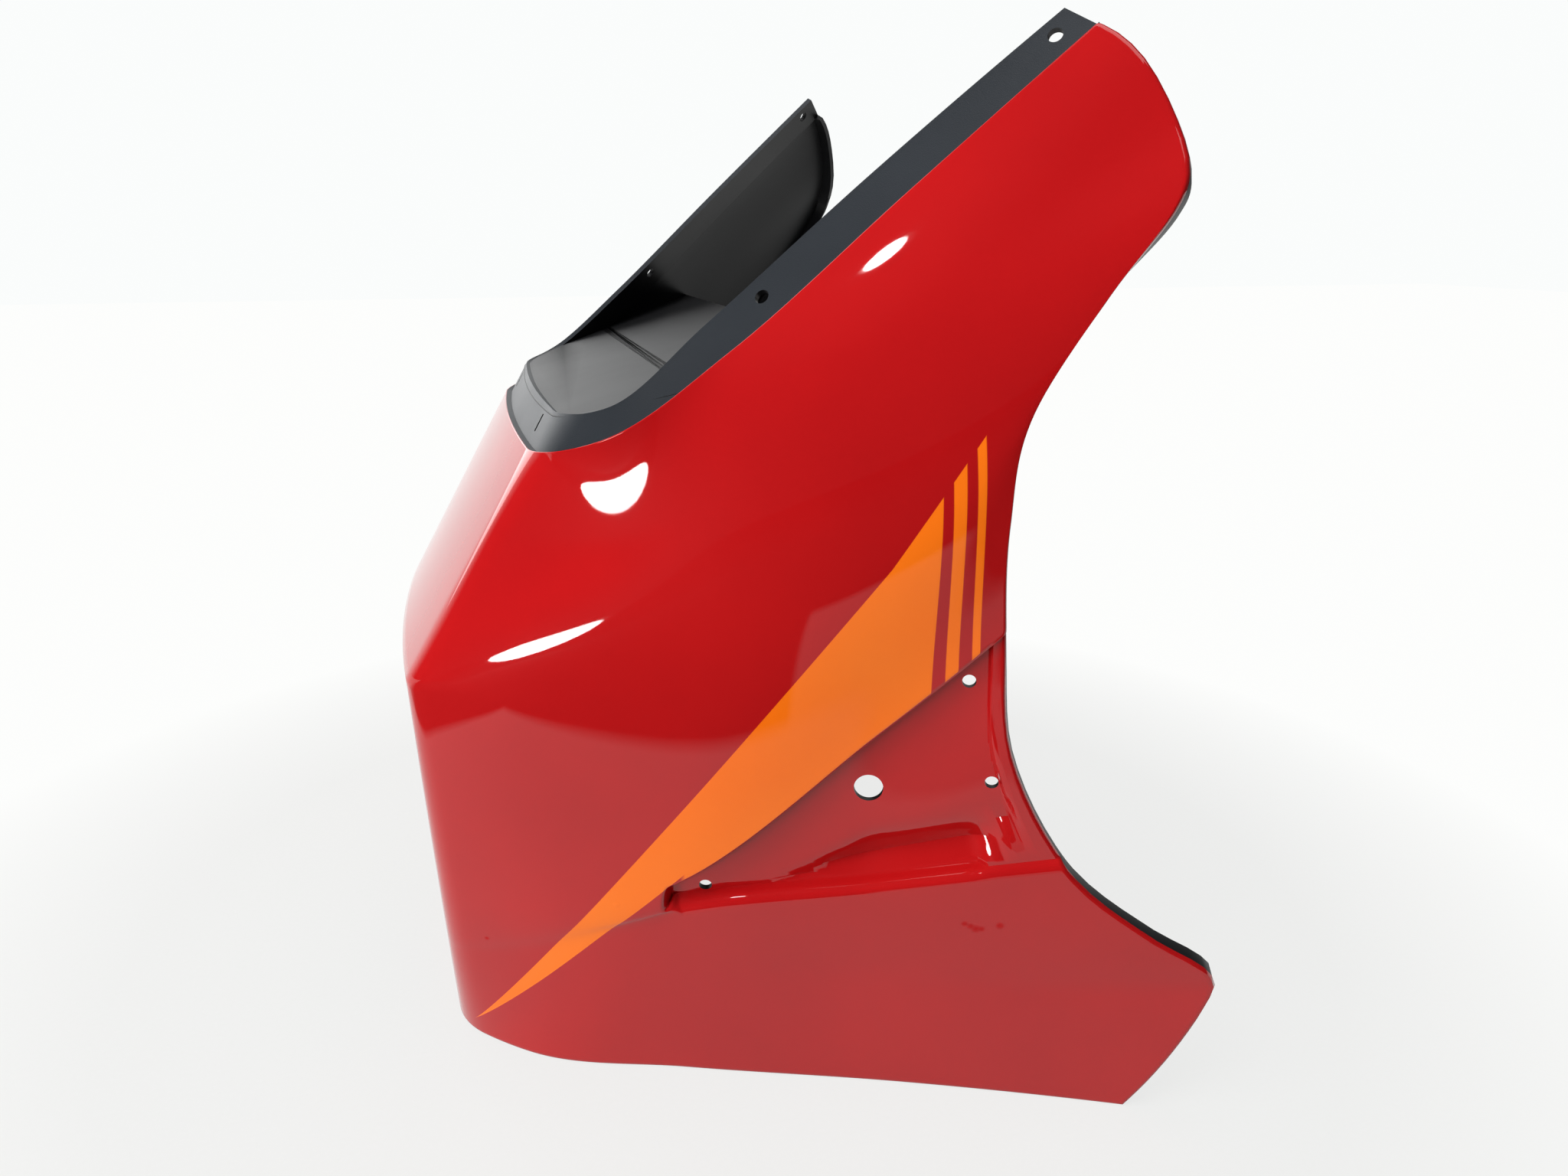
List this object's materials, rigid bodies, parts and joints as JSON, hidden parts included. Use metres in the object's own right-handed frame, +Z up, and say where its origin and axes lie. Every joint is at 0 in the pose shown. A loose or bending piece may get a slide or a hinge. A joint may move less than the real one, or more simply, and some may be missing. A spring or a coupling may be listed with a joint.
{
  "type": "motorcycle fairing",
  "caption": "Moulded front upper cowl of a sport motorcycle: raked brow over a lamp opening, recessed screen seat, swept side panels with stepped recesses and turned-in lips.",
  "frame": {"origin": "middle of the footprint's box, on the surface under the hem", "axes": "+X to the rear of the machine, -Y to its left side, +Z up"},
  "size_m": [0.3234, 0.428, 0.44],
  "materials": {
    "painted_plastic": "deep red gloss paint with orange film stripes on ABS; the screen seat and the inside are left in dark satin plastic"
  },
  "bodies": {
    "root": {"cowl_shell": "painted_plastic"}
  },
  "joints": []
}
